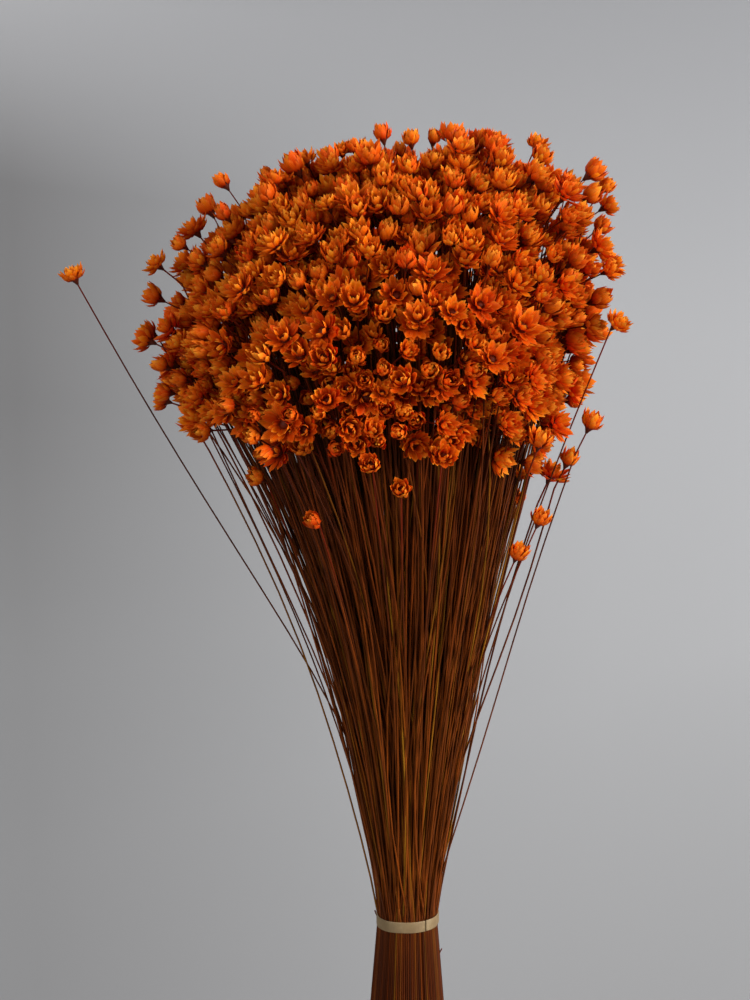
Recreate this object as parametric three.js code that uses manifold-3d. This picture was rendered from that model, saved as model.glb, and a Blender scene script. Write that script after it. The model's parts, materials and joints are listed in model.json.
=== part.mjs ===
// Dried glixia in a plain ceramic vase: a tied bunch of thin wiry stems, each with one small orange
// everlasting head, standing on its cut ends on the vase's floor.
// Millimetres, +Z up. The origin is the centre of the vase's foot, on the surface it stands on, and
// the bunch is seen from the front along +Y.

import * as THREE from "three";
import { mergeVertices } from "three/addons/utils/BufferGeometryUtils.js";
import Module from "manifold-3d";

const wasm = await Module();
wasm.setup();

// Vase
const VASE_HEIGHT = 112;
const VASE_FOOT_RADIUS = 33;
const VASE_RIM_RADIUS = 37;
const VASE_WALL = 4;
const VASE_FLOOR = 6;
const EDGE_ROUND = 1.6;
const VASE_SIDES = 40;

// Bunch, from the cut ends up
const TOUCH_GAP = 0.3;
const CUT_END_Z = VASE_FLOOR + TOUCH_GAP;
const TIE_Z = 168;
const TIE_RADIUS = 10.5;
const FOOT_SPREAD = 2.15;
const STEM_RADIUS = 0.6;
const STEM_ROOT_DEPTH = 2.2;
const STRAND_GAP = 0.32;
const STRAND_RISES = [0, 22, 45, 52, 59, 66];
const CORE_SIDES = 9;

// How stems fan out above the tie: partly straight away, the rest the later the lower their
// heads hang. An outer stem bends twice on its way, an inner one once.
const FAN_STRAIGHT = 0.3;
const FAN_POWER = 2.3;
const FAN_POWER_PER_DROP = 0.07;
const OUTER_STEM_BENDS = [0.45, 0.78];
const INNER_STEM_BENDS = [0.55];

// Head dome: a flat-topped ball whose middle lies a little left of the tie, higher on its right
// side, and closed further down on the right than on the left
const DOME_CENTRE = new THREE.Vector3(-8, 0, 409);
const DOME_WIDTH = 91;
const DOME_DEPTH = 84;
const DOME_RISE = 73;
const DOME_POWER = 2.7;
const DOME_LEAN = 0.07;
const DOME_TILT = 0.08;
const DOME_EDGE_ANGLE = 2.02;
const DOME_EDGE_TILT = 0.2;
const WIDE_LUMP = 4;
const SMALL_LUMP = 3;
const CLUMPING = 0.07;
const LAYER_DEPTH = 15;

// Heads: six-sided cups that lift their faces a little towards the light
const HEAD_RADIUS = 5.2;
const HEAD_HEIGHT = 6.4;
const CUP_FLOOR_HEIGHT = 3.5;
const HEAD_LIFT = 0.45;
const HEAD_SIDES = 6;
const STEM_SIDES = 3;

// Sprigs in the dome, each of which stands for about two of a real bunch
const BUNCH_SPRIGS = 280;
const GOLDEN_ANGLE = Math.PI * (3 - Math.sqrt(5));

// Rings of sprays, from the core outwards: name, number of sprays, and how high above the tie
// their stems stay packed
const RINGS = [
  ["core", 1, 66],
  ["inner", 7, 59],
  ["middle", 14, 52],
  ["outer", 21, 45],
];

// Band
const BAND_CLEAR_RADIUS = 12.6;
const BAND_THICKNESS = 1;
const BAND_HEIGHT = 4.6;
const BAND_BEVEL = 0.3;
const BAND_SIDES = 32;

// Sprigs outside the dome: the middle of each head, and where the stem swings away from the
// bunch, as its distance from the axis and its height above the tie
const LOW_SWING = [18, 66];
const LOOSE_LIFT = 0.5;
const LOOSE_STEM_STEPS = 6;
const LOOSE_SPRIGS = {
  stray_sprig_left: { head: [-133, 0, 432], swing: [12, 88] },
  stray_sprig_right: { head: [87, -34, 413], swing: [19, 70] },
  side_sprig_upper_left: { head: [-104, 14, 409], swing: [22, 90] },
  low_sprig_far_left: { head: [-60, -33, 351], swing: LOW_SWING },
  low_sprig_left: { head: [-38, -52, 333], swing: LOW_SWING },
  low_sprig_front_left: { head: [-15, -77, 361], swing: LOW_SWING },
  low_sprig_front: { head: [-2, -75, 350], swing: LOW_SWING },
  low_sprig_front_right: { head: [14, -78, 363], swing: LOW_SWING },
  low_sprig_right: { head: [51, -36, 341], swing: LOW_SWING },
  low_sprig_lower_right: { head: [41, -42, 328], swing: LOW_SWING },
  low_sprig_back_left: { head: [-40, 55, 345], swing: LOW_SWING },
  low_sprig_back_right: { head: [34, 60, 352], swing: LOW_SWING },
};

// A number from 0 to 1 that looks random and is always the same for the same two whole numbers
function scatter(index, salt) {
  const wave = Math.sin(index * 12.9898 + salt * 78.233) * 43758.5453;
  return wave - Math.floor(wave);
}

// How far the dome reaches from its centre at an angle from straight up
function domeReach(angle) {
  const wide = Math.sin(angle) / DOME_WIDTH;
  const high = Math.abs(Math.cos(angle)) / DOME_RISE;
  return (wide ** DOME_POWER + high ** DOME_POWER) ** (-1 / DOME_POWER);
}

// One sprig of the bunch: how far out it passes the tie, its way round, and its head
function bunchSprig(index) {
  const share = (index + 0.5) / BUNCH_SPRIGS;
  const around = (index * GOLDEN_ANGLE) % (2 * Math.PI);
  const edge = DOME_EDGE_ANGLE + DOME_EDGE_TILT * Math.cos(around);
  const evenly = Math.acos(1 - (1 - Math.cos(edge)) * share);
  const down = evenly + CLUMPING * Math.sin(3 * around + 4 * evenly);
  const outward = new THREE.Vector3(
    Math.sin(down) * Math.cos(around),
    (Math.sin(down) * Math.sin(around) * DOME_DEPTH) / DOME_WIDTH,
    Math.cos(down),
  );
  const wideLump = WIDE_LUMP * Math.sin(2 * around + 3 * down);
  const smallLump = SMALL_LUMP * Math.sin(5 * around - 4 * down);
  const sunk = LAYER_DEPTH * scatter(index, 1) ** 2;
  const head = outward.clone().multiplyScalar(domeReach(down) + wideLump + smallLump - sunk);
  head.x += DOME_LEAN * head.z;
  head.z += DOME_TILT * head.x;
  head.add(DOME_CENTRE);
  const facing = outward.clone().add(new THREE.Vector3(0, 0, HEAD_LIFT)).normalize();
  return { share, around, head, facing };
}

// How far a stem has swung from the tie to its head, from 0 to 1, at a share of its rise
function fan(rise, headZ) {
  const power = FAN_POWER + FAN_POWER_PER_DROP * Math.max(0, DOME_CENTRE.z - headZ);
  return FAN_STRAIGHT * rise + (1 - FAN_STRAIGHT) * rise ** power;
}

// How much wider than at the tie the packed stems are
function spreadAt(z) {
  if (z < TIE_Z) return 1 + ((FOOT_SPREAD - 1) * (TIE_Z - z)) / (TIE_Z - CUT_END_Z);
  const rise = (z - TIE_Z) / (DOME_CENTRE.z - TIE_Z);
  return 1 + (DOME_WIDTH / TIE_RADIUS - 1) * fan(rise, DOME_CENTRE.z);
}

// A closed solid from corners and triangles of corner numbers
function solidFrom(positions, triangles) {
  return new wasm.Manifold(
    new wasm.Mesh({
      numProp: 3,
      vertProperties: new Float32Array(positions),
      triVerts: new Uint32Array(triangles),
    }),
  );
}

function geometryOf(solid) {
  const mesh = solid.getMesh();
  const geometry = new THREE.BufferGeometry();
  const positions = new THREE.BufferAttribute(new Float32Array(mesh.vertProperties), 3);
  geometry.setAttribute("position", positions);
  geometry.setIndex(new THREE.BufferAttribute(new Uint32Array(mesh.triVerts), 1));
  geometry.computeVertexNormals();
  return geometry;
}

// A ring of corners round a point, square to a direction
function ringOf(corners, centre, direction, radius) {
  const side = new THREE.Vector3(0, 1, 0).cross(direction).normalize();
  const other = direction.clone().cross(side).normalize();
  return Array.from({ length: corners }, (_, k) => {
    const turn = (2 * Math.PI * k) / corners;
    return centre
      .clone()
      .addScaledVector(side, radius * Math.cos(turn))
      .addScaledVector(other, radius * Math.sin(turn));
  });
}

// One sprig as one closed solid: a thin stem along a path, widening into a cup. The cup has two
// sides for each side of the stem.
function sprigSolid(path, facing) {
  const points = [];
  const triangles = [0, 2, 1];
  path.forEach((at, k) => {
    const before = path[Math.max(k - 1, 0)];
    const after = path[Math.min(k + 1, path.length - 1)];
    const along = after.clone().sub(before).normalize();
    points.push(...ringOf(STEM_SIDES, at, along, STEM_RADIUS));
  });
  for (let k = 0; k + 1 < path.length; k += 1) {
    for (let s = 0; s < STEM_SIDES; s += 1) {
      const a = STEM_SIDES * k + s;
      const b = STEM_SIDES * k + ((s + 1) % STEM_SIDES);
      triangles.push(a, b, b + STEM_SIDES, a, b + STEM_SIDES, a + STEM_SIDES);
    }
  }
  const neck = points.length - STEM_SIDES;
  const rim = points.length;
  const base = path[path.length - 1];
  const rimCentre = base.clone().addScaledVector(facing, HEAD_HEIGHT);
  points.push(...ringOf(HEAD_SIDES, rimCentre, facing, HEAD_RADIUS));
  points.push(base.clone().addScaledVector(facing, CUP_FLOOR_HEIGHT));
  for (let s = 0; s < STEM_SIDES; s += 1) {
    const a = neck + s;
    const b = neck + ((s + 1) % STEM_SIDES);
    const p = rim + 2 * s;
    const r = rim + ((2 * s + 2) % HEAD_SIDES);
    triangles.push(a, p + 1, p, a, b, p + 1, b, r, p + 1);
  }
  for (let s = 0; s < HEAD_SIDES; s += 1) {
    triangles.push(rim + s, rim + ((s + 1) % HEAD_SIDES), rim + HEAD_SIDES);
  }
  return solidFrom(points.flatMap((p) => p.toArray()), triangles);
}

// The patch of the tie's circle that one spray's strand fills, as a ring of corners
function strandOutline({ inner, outer, from, to }) {
  const corner = (radius, turn) => new THREE.Vector2(radius * Math.cos(turn), radius * Math.sin(turn));
  const high = outer - STRAND_GAP / 2;
  if (inner === 0) {
    return Array.from({ length: CORE_SIDES }, (_, k) => corner(high, (2 * Math.PI * k) / CORE_SIDES));
  }
  const low = inner + STRAND_GAP / 2;
  const [lowTrim, highTrim] = [STRAND_GAP / 2 / low, STRAND_GAP / 2 / high];
  return [
    corner(high, from + highTrim),
    corner(high, (from + to) / 2),
    corner(high, to - highTrim),
    corner(low, to - lowTrim),
    corner(low, from + lowTrim),
  ];
}

// The lower stems of one spray, packed side by side: spread at the cut ends, pinched at the tie
function strandSolid(spray) {
  const outline = strandOutline(spray);
  const rises = STRAND_RISES.filter((rise) => rise <= spray.packed);
  const levels = [CUT_END_Z, ...rises.map((rise) => TIE_Z + rise)];
  const count = outline.length;
  const top = (levels.length - 1) * count;
  const points = levels.flatMap((z) =>
    outline.flatMap((corner) => [corner.x * spreadAt(z), corner.y * spreadAt(z), z]),
  );
  const triangles = [];
  for (const [a, b, c] of THREE.ShapeUtils.triangulateShape(outline, [])) {
    triangles.push(a, c, b, top + a, top + b, top + c);
  }
  for (let level = 0; level + 1 < levels.length; level += 1) {
    for (let k = 0; k < count; k += 1) {
      const a = level * count + k;
      const b = level * count + ((k + 1) % count);
      triangles.push(a, b, b + count, a, b + count, a + count);
    }
  }
  return solidFrom(points, triangles);
}

// Where a sprig's stem passes the tie: at its own distance from the axis and its own way round,
// but never so near its strand's side that the stem would stick out of it
function placeInStrand(sprig, { inner, outer, from, to }) {
  const clear = inner > 0 ? STEM_RADIUS : 0;
  const own = TIE_RADIUS * Math.sqrt(sprig.share);
  const reach = THREE.MathUtils.clamp(own, inner + clear, outer - STEM_RADIUS);
  const slack = clear / reach;
  const turn = THREE.MathUtils.clamp(sprig.around, from + slack, to - slack);
  return { reach, turn };
}

// A spray's stem from its strand's top to its head
function sprayStem(sprig, spray) {
  const leaveZ = TIE_Z + spray.packed;
  const { reach, turn } = placeInStrand(sprig, spray);
  const tie = new THREE.Vector3(reach * Math.cos(turn), reach * Math.sin(turn), TIE_Z);
  const base = sprig.head.clone().addScaledVector(sprig.facing, -HEAD_HEIGHT / 2);
  const start = tie.clone().multiplyScalar(spreadAt(leaveZ)).setZ(leaveZ - STEM_ROOT_DEPTH);
  const leaveRise = (leaveZ - TIE_Z) / (base.z - TIE_Z);
  const parts = sprig.share > 0.5 ? OUTER_STEM_BENDS : INNER_STEM_BENDS;
  const bends = parts.map((part) => fanned(tie, base, leaveRise + (1 - leaveRise) * part));
  return [start, ...bends, base];
}

// A point of a stem's middle line above the tie
function fanned(tie, base, rise) {
  const across = fan(rise, base.z);
  return new THREE.Vector3(
    tie.x + (base.x - tie.x) * across,
    tie.y + (base.y - tie.y) * across,
    tie.z + (base.z - tie.z) * rise,
  );
}

// A loose sprig's stem lies along the outside of the strands up to the tie, then swings away
function looseStem(head, facing, swing) {
  const away = new THREE.Vector3(head.x, head.y, 0).normalize();
  const lowReach = TIE_RADIUS + STRAND_GAP + STEM_RADIUS;
  const tie = away.clone().multiplyScalar(lowReach).setZ(TIE_Z);
  const foot = away.clone().multiplyScalar(lowReach * FOOT_SPREAD).setZ(CUT_END_Z);
  const base = head.clone().addScaledVector(facing, -HEAD_HEIGHT / 2);
  const bend = away.clone().multiplyScalar(swing[0]).setZ(TIE_Z + swing[1]);
  return [foot, ...new THREE.QuadraticBezierCurve3(tie, bend, base).getPoints(LOOSE_STEM_STEPS)];
}

// A lathed profile whose axis stands along +Z, as one closed mesh with shared corners
function latheUpright(profile, sides) {
  const geometry = new THREE.LatheGeometry(profile, sides);
  geometry.rotateX(Math.PI / 2);
  geometry.deleteAttribute("normal");
  geometry.deleteAttribute("uv");
  return mergeVertices(geometry, 1e-4);
}

function bandGeometry() {
  const inner = BAND_CLEAR_RADIUS;
  const outer = BAND_CLEAR_RADIUS + BAND_THICKNESS;
  const half = BAND_HEIGHT / 2;
  const profile = [
    [inner, -half],
    [outer - BAND_BEVEL, -half],
    [outer, -half + BAND_BEVEL],
    [outer, half - BAND_BEVEL],
    [outer - BAND_BEVEL, half],
    [inner, half],
    [inner, -half],
  ];
  const corners = profile.map(([across, up]) => new THREE.Vector2(across, TIE_Z + up));
  return latheUpright(corners, BAND_SIDES);
}

// Points of a rounded edge, from one direction to another round a centre
function roundedEdge(across, up, radius, fromDegrees, toDegrees, steps) {
  return Array.from({ length: steps + 1 }, (_, k) => {
    const turn = THREE.MathUtils.degToRad(fromDegrees + ((toDegrees - fromDegrees) * k) / steps);
    return new THREE.Vector2(across + radius * Math.cos(turn), up + radius * Math.sin(turn));
  });
}

function vaseGeometry() {
  const lip = VASE_WALL / 2;
  const profile = [
    new THREE.Vector2(0, 0),
    ...roundedEdge(VASE_FOOT_RADIUS - EDGE_ROUND, EDGE_ROUND, EDGE_ROUND, -90, 0, 2),
    ...roundedEdge(VASE_RIM_RADIUS - lip, VASE_HEIGHT - lip, lip, 0, 180, 4),
    ...roundedEdge(
      VASE_FOOT_RADIUS - VASE_WALL - EDGE_ROUND,
      VASE_FLOOR + EDGE_ROUND,
      EDGE_ROUND,
      0,
      -90,
      2,
    ),
    new THREE.Vector2(0, VASE_FLOOR),
  ];
  return latheUpright(profile, VASE_SIDES);
}

const finishes = {
  sprig: new THREE.MeshStandardMaterial({ color: 0xb8560f, roughness: 0.6, metalness: 0 }),
  band: new THREE.MeshStandardMaterial({ color: 0xc9b083, roughness: 0.8, metalness: 0 }),
  vase: new THREE.MeshStandardMaterial({ color: 0xe4dfd5, roughness: 0.6, metalness: 0 }),
};

const vaseOfGlixia = new THREE.Group();

function addPiece(name, geometry, finish) {
  const mesh = new THREE.Mesh(geometry, finish);
  mesh.name = name;
  vaseOfGlixia.add(mesh);
}

// Loose sprigs
const looseSprigs = Object.entries(LOOSE_SPRIGS).map(([name, { head, swing }]) => {
  const middle = new THREE.Vector3(...head);
  const facing = new THREE.Vector3(middle.x, middle.y, 0).normalize().setZ(LOOSE_LIFT).normalize();
  return { name, solid: sprigSolid(looseStem(middle, facing, swing), facing) };
});

// Sprays, each begun as a bare strand
const sprays = [];
const sprayCount = RINGS.reduce((sum, [, count]) => sum + count, 0);
for (const [ringName, count, packed] of RINGS) {
  const before = sprays.length;
  for (let k = 0; k < count; k += 1) {
    const spray = {
      name: count > 1 ? `spray_${ringName}_${String(k + 1).padStart(2, "0")}` : `spray_${ringName}`,
      inner: TIE_RADIUS * Math.sqrt(before / sprayCount),
      outer: TIE_RADIUS * Math.sqrt((before + count) / sprayCount),
      from: (2 * Math.PI * k) / count,
      to: (2 * Math.PI * (k + 1)) / count,
      packed,
    };
    spray.solid = strandSolid(spray);
    sprays.push(spray);
  }
}

// Sprigs join the spray whose strand they pass the tie in, but one that would run through
// another piece is left out
for (let index = 0; index < BUNCH_SPRIGS; index += 1) {
  const sprig = bunchSprig(index);
  const reach = TIE_RADIUS * Math.sqrt(sprig.share);
  const home = sprays.find(
    ({ inner, outer, from, to }) =>
      reach >= inner && reach < outer && sprig.around >= from && sprig.around < to,
  );
  const solid = sprigSolid(sprayStem(sprig, home), sprig.facing);
  const others = [...sprays, ...looseSprigs].filter((piece) => piece !== home);
  if (others.every((piece) => piece.solid.intersect(solid).isEmpty())) {
    home.solid = home.solid.add(solid);
  }
}

for (const { name, solid } of [...sprays, ...looseSprigs]) {
  addPiece(name, geometryOf(solid), finishes.sprig);
}
addPiece("tie_band", bandGeometry(), finishes.band);
addPiece("vase", vaseGeometry(), finishes.vase);

export default vaseOfGlixia;
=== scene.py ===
# %% [markdown]
# # Dried glixia in a stoneware vase
#
# The real object is a bunch of dried everlasting flowers. Each is a thin wiry stem with one small
# orange head of papery bracts. A flat rubber band pinches the stems, the heads crowd into a ball
# above it, and the cut ends stand on the floor of a plain vase.
#
# The construction model fixes the sizes and says which stems belong together. This script gives
# every piece its finished shape and look, in metres, in the construction model's own frame.

# %% Load the construction model
import json
import math

import bpy
import numpy as np
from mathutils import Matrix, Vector

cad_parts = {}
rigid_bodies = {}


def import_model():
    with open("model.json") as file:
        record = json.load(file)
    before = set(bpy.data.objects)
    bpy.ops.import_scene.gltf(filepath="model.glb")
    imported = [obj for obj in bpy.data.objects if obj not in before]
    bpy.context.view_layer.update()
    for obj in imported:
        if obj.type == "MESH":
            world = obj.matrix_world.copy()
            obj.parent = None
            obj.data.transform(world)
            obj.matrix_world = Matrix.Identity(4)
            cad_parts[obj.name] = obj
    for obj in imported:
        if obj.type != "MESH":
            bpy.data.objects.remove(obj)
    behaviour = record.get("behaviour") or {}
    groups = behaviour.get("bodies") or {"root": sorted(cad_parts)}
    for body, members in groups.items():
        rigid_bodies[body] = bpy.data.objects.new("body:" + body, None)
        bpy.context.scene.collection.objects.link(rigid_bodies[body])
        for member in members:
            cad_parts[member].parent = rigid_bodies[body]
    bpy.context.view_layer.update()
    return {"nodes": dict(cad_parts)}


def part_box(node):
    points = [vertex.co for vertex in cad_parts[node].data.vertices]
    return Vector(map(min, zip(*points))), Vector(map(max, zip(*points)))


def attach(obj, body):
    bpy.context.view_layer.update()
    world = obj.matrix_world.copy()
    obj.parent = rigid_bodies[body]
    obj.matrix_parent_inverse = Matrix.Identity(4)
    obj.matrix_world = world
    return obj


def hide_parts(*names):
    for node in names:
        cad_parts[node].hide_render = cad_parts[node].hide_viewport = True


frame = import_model()
MM = 0.001
TURN = 2 * math.pi
print("construction model:", len(frame["nodes"]), "nodes")

# %% Sizes taken from the construction model
tie_low, tie_high = (np.array(corner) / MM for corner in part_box("tie_band"))
vase_low, vase_high = (np.array(corner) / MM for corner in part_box("vase"))
TIE_Z = (tie_low[2] + tie_high[2]) / 2
BAND_OUTER_RADIUS = (tie_high[0] - tie_low[0]) / 2
BAND_HEIGHT = tie_high[2] - tie_low[2]
CUT_END_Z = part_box("spray_core")[0].z / MM
VASE_HEIGHT = vase_high[2]
VASE_RIM_RADIUS = (vase_high[0] - vase_low[0]) / 2
print("tie at", round(TIE_Z), "mm, vase", round(VASE_HEIGHT), "mm high")

# %% [markdown]
# ## Camera
#
# The photograph looks slightly down at the bunch with a fairly long lens, and its lower edge cuts
# the stems off above the vase.

# %% Camera
CAMERA_TARGET = Vector((-13.4, 0, 343.4)) * MM
CAMERA_DISTANCE = 850 * MM
CAMERA_PITCH = math.radians(10)
CAMERA_LENS = 76.5



def put_in_scene(name, data):
    made = bpy.data.objects.new(name, data)
    bpy.context.scene.collection.objects.link(made)
    return made


camera = put_in_scene("camera", bpy.data.cameras.new("camera"))
camera.data.lens = CAMERA_LENS
camera_back = Vector((0, -math.cos(CAMERA_PITCH), math.sin(CAMERA_PITCH)))
camera.location = CAMERA_TARGET + camera_back * CAMERA_DISTANCE
camera.rotation_euler = (math.pi / 2 - CAMERA_PITCH, 0, 0)
bpy.context.scene.camera = camera
bpy.context.scene.view_settings.view_transform = "Standard"
print("camera at", [round(c, 3) for c in camera.location])

# %% [markdown]
# ## Shader maths in plain Python
#
# Node trees are easier to read as sums than as lists of links. A Reading wraps a socket, and adding
# or multiplying readings adds the Math nodes. Every other node comes from one method.

# %% Node helpers


def socket_named(sockets, key):
    """The first socket in use with that name, identifier or number."""
    if isinstance(key, int):
        return sockets[key]
    return next(s for s in sockets if s.enabled and key in (s.name, s.identifier))


def sum_of(operation, swapped=False):
    """A method that does sums with readings by adding a Math node."""

    def method(self, other):
        values = (other, self) if swapped else (self, other)
        return self.maker.math(operation, *values)

    return method


class Reading:
    """A value that varies over a surface or a shape, wrapped so that it can be used in sums."""

    __add__ = __radd__ = sum_of("ADD")
    __sub__, __rsub__ = sum_of("SUBTRACT"), sum_of("SUBTRACT", swapped=True)
    __mul__ = __rmul__ = sum_of("MULTIPLY")
    __truediv__, __pow__ = sum_of("DIVIDE"), sum_of("POWER")

    def __init__(self, maker, socket):
        self.maker = maker
        self.socket = socket

    def output(self, key):
        """Another output of the same node."""
        return Reading(self.maker, socket_named(self.socket.node.outputs, key))


class NodeMaker:
    """Adds nodes to one tree."""

    def __init__(self, tree):
        self.tree = tree

    def feed(self, socket, value):
        if isinstance(value, Reading):
            self.tree.links.new(value.socket, socket)
        else:
            socket.default_value = value

    def node(self, kind, sockets=None, **settings):
        """One node: its settings come first, then the values or links of its sockets."""
        made = self.tree.nodes.new(kind)
        for name, value in settings.items():
            if name == "stops":
                set_stops(made.color_ramp, value)
            else:
                setattr(made, name, value)
        for key, value in (sockets or {}).items():
            self.feed(socket_named(made.inputs, key), value)
        first = next((s for s in made.outputs if s.enabled), None)
        return Reading(self, first) if first else made

    def math(self, operation, *values, clamp=False):
        sockets = dict(enumerate(values))
        return self.node("ShaderNodeMath", sockets, operation=operation, use_clamp=clamp)


def set_stops(ramp, stops):
    """Stops are (place from 0 to 1, colour) pairs."""
    while len(ramp.elements) < len(stops):
        ramp.elements.new(0.5)
    for element, (place, colour) in zip(ramp.elements, stops):
        element.position = place
        element.color = (*colour, 1)


def grey(*stops):
    """Stops for a ramp between greys, as (place, brightness) pairs."""
    return [(place, (level,) * 3) for place, level in stops]


print("node helpers ready")

# %% Finishes


class Finish(NodeMaker):
    """A material with one Principled shader and its constant values."""

    def __init__(self, name, **constants):
        self.material = bpy.data.materials.new(name)
        self.material.use_nodes = True
        super().__init__(self.material.node_tree)
        self.shader = self.tree.nodes["Principled BSDF"]
        for key, value in constants.items():
            self.shader.inputs[key.replace("_", " ")].default_value = value

    def attribute(self, name):
        return self.node("ShaderNodeAttribute", attribute_name=name).output("Fac")

    def place(self):
        """The piece's own coordinates in metres, which are the frame's."""
        return self.node("ShaderNodeTexCoord").output("Object")

    def ramp(self, value, stops):
        return self.node("ShaderNodeValToRGB", {"Fac": value}, stops=stops)

    def blend(self, share, low, high, mode="MIX"):
        sockets = {"Factor_Float": share, "A_Color": low, "B_Color": high}
        return self.node("ShaderNodeMix", sockets, data_type="RGBA", blend_type=mode).output("Result")

    def times(self, colour, shade):
        return self.blend(1.0, colour, shade, "MULTIPLY")

    def noise(self, vector, scale, detail):
        sockets = {"Vector": vector, "Scale": scale, "Detail": detail}
        return self.node("ShaderNodeTexNoise", sockets).output("Fac")

    def colour(self, value):
        self.feed(self.shader.inputs["Base Color"], value)

    def roughness(self, value):
        self.feed(self.shader.inputs["Roughness"], value)

    def bump(self, height, depth):
        """Relief of that depth in metres, where height runs from 0 to 1."""
        sockets = {"Height": height, "Distance": depth, "Strength": 1.0}
        self.feed(self.shader.inputs["Normal"], self.node("ShaderNodeBump", sockets))


print("finish helper ready")

# %% [markdown]
# ## Finish of the bracts
#
# Each head is a cup of thin papery bracts. They are deep red at the base, orange in the middle and
# golden at the tip, with fine veins along them. Their margins are painted paler as rim highlights.
# Light shines through them, so the shader mixes in a translucent part. The colour follows three
# numbers that the mesh carries: how far along the bract a point is, how far across it, and how golden
# the bract is, which includes painted glints.

# %% Bract finish
THROUGH_LIGHT = 0.42
VEINS_ACROSS, VEIN_DEPTH, VEIN_LEVEL = 17.0, 0.16, 0.92
# Painted rim highlight: how much the bract margins are lightened, how tightly it keeps to them, and its
# colour
RIM_HIGHLIGHT_SHARE, RIM_HIGHLIGHT_POWER = 0.5, 3.0
RIM_HIGHLIGHT_COLOUR = (0.95, 0.36, 0.07, 1)
RED_STOPS = [
    (0.0, (0.3, 0.006, 0.0005)), (0.3, (0.6, 0.03, 0.001)),
    (0.7, (0.84, 0.068, 0.002)), (1.0, (0.92, 0.145, 0.01)),
]
GOLDEN_STOPS = [
    (0.0, (0.42, 0.02, 0.001)), (0.3, (0.85, 0.12, 0.002)),
    (0.7, (0.97, 0.27, 0.004)), (1.0, (0.98, 0.49, 0.05)),
]


def make_bract_finish():
    finish = Finish("papery_bract", Roughness=0.5, Specular_IOR_Level=0.06)
    along = finish.attribute("along")
    gold = finish.attribute("gold")
    across = finish.attribute("across")
    plain = finish.blend(gold, finish.ramp(along, RED_STOPS), finish.ramp(along, GOLDEN_STOPS))
    # Painted highlight: the margins are lightened, as rims that catch the light
    margin = finish.math("ABSOLUTE", across) ** RIM_HIGHLIGHT_POWER * along * RIM_HIGHLIGHT_SHARE
    rim_highlighted = finish.blend(margin, plain, RIM_HIGHLIGHT_COLOUR)
    vein = finish.math("SINE", across * VEINS_ACROSS) * along * VEIN_DEPTH + VEIN_LEVEL
    tinted = finish.times(rim_highlighted, vein)
    finish.colour(tinted)
    through = finish.node("ShaderNodeBsdfTranslucent", {"Color": tinted})
    surface = Reading(finish, finish.shader.outputs[0])
    mixed = finish.node("ShaderNodeMixShader", {"Fac": THROUGH_LIGHT, 1: surface, 2: through})
    finish.feed(finish.tree.nodes["Material Output"].inputs["Surface"], mixed)
    return finish.material


bract_finish = make_bract_finish()
print("bract finish:", len(bract_finish.node_tree.nodes), "nodes")

# %% [markdown]
# ## Finish of the cup bases and the stems
#
# Below the bracts each head narrows into a dark maroon cone. The stems are dry and wiry: most are
# dark brown, some are olive and some are red, with darker and lighter stretches along them. They are
# darker below the tie. Under the heads they are darker with painted shade, and just below the head
# they are painted dark red, as shade reddened by light bounced between the bracts.

# %% Base and stem finishes
PATCHES_ACROSS, PATCHES_ALONG = 40.0, 28.0
# Painted shade: the dark red of the shade inside the ball, reddened by light bounced between the bracts
NECK_SHADE_COLOUR = (0.12, 0.009, 0.001, 1)
TONE_STOPS = [
    (0.0, (0.068, 0.015, 0.001)), (0.35, (0.13, 0.028, 0.002)), (0.6, (0.205, 0.042, 0.003)),
    (0.8, (0.2, 0.07, 0.004)), (1.0, (0.31, 0.136, 0.009)),
]


def make_base_finish():
    finish = Finish("maroon_base", Roughness=0.6, Specular_IOR_Level=0.2)
    maroon = [(0.0, (0.045, 0.008, 0.002)), (0.6, (0.09, 0.008, 0.001)), (1.0, (0.1, 0.012, 0.001))]
    finish.colour(finish.ramp(finish.attribute("along"), maroon))
    return finish.material


def make_stem_finish():
    finish = Finish("wiry_stem", Roughness=0.5, Specular_IOR_Level=0.08)
    tone = finish.attribute("tone")
    along = finish.attribute("along")
    body = finish.ramp(tone, TONE_STOPS)
    sockets = {"X": tone * PATCHES_ACROSS, "Y": along * PATCHES_ALONG}
    patch = finish.noise(finish.node("ShaderNodeCombineXYZ", sockets), 1.0, 3.0)
    shade = finish.ramp(patch, [(0.3, (0.5, 0.48, 0.45)), (0.7, (1.0, 0.98, 0.9))])
    # Darker below the tie, and painted shade under the heads
    tie_dark_and_painted_head_shade = finish.ramp(
        along, [(0.18, (0.5, 0.42, 0.33)), (0.3, (1, 1, 1)), (0.5, (1, 1, 1)), (0.8, (0.62, 0.5, 0.45))]
    )
    shaded = finish.times(finish.times(body, shade), tie_dark_and_painted_head_shade)
    # Painted shade: just below the head the stem turns dark red
    painted_neck_shade = finish.ramp(along, grey((0.84, 0), (0.95, 0.8)))
    finish.colour(finish.blend(painted_neck_shade, shaded, NECK_SHADE_COLOUR))
    return finish.material


base_finish = make_base_finish()
stem_finish = make_stem_finish()
print("base and stem finishes ready")

# %% [markdown]
# ## One bract
#
# A bract is a small pointed spoon, hollow on the side that faces the head's axis. It is a closed
# crescent of 12 faces, because thousands are needed. It grows along +Z with its back towards +X.

# %% Bract mesh
# Place along the bract and its width there
BRACT_STATIONS = [(0.36, 0.92), (0.72, 0.86)]
BRACT_LENGTH = 5.8
BRACT_HALF_WIDTH = 1.2
BRACT_HOLLOW = 0.62
BRACT_THICKNESS = 0.14


def mesh_from(name, points, faces):
    """A mesh from points in millimetres."""
    mesh = bpy.data.meshes.new(name)
    mesh.from_pydata((np.array(points) * MM).tolist(), [], faces)
    mesh.polygons.foreach_set("use_smooth", [True] * len(mesh.polygons))
    return mesh


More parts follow.
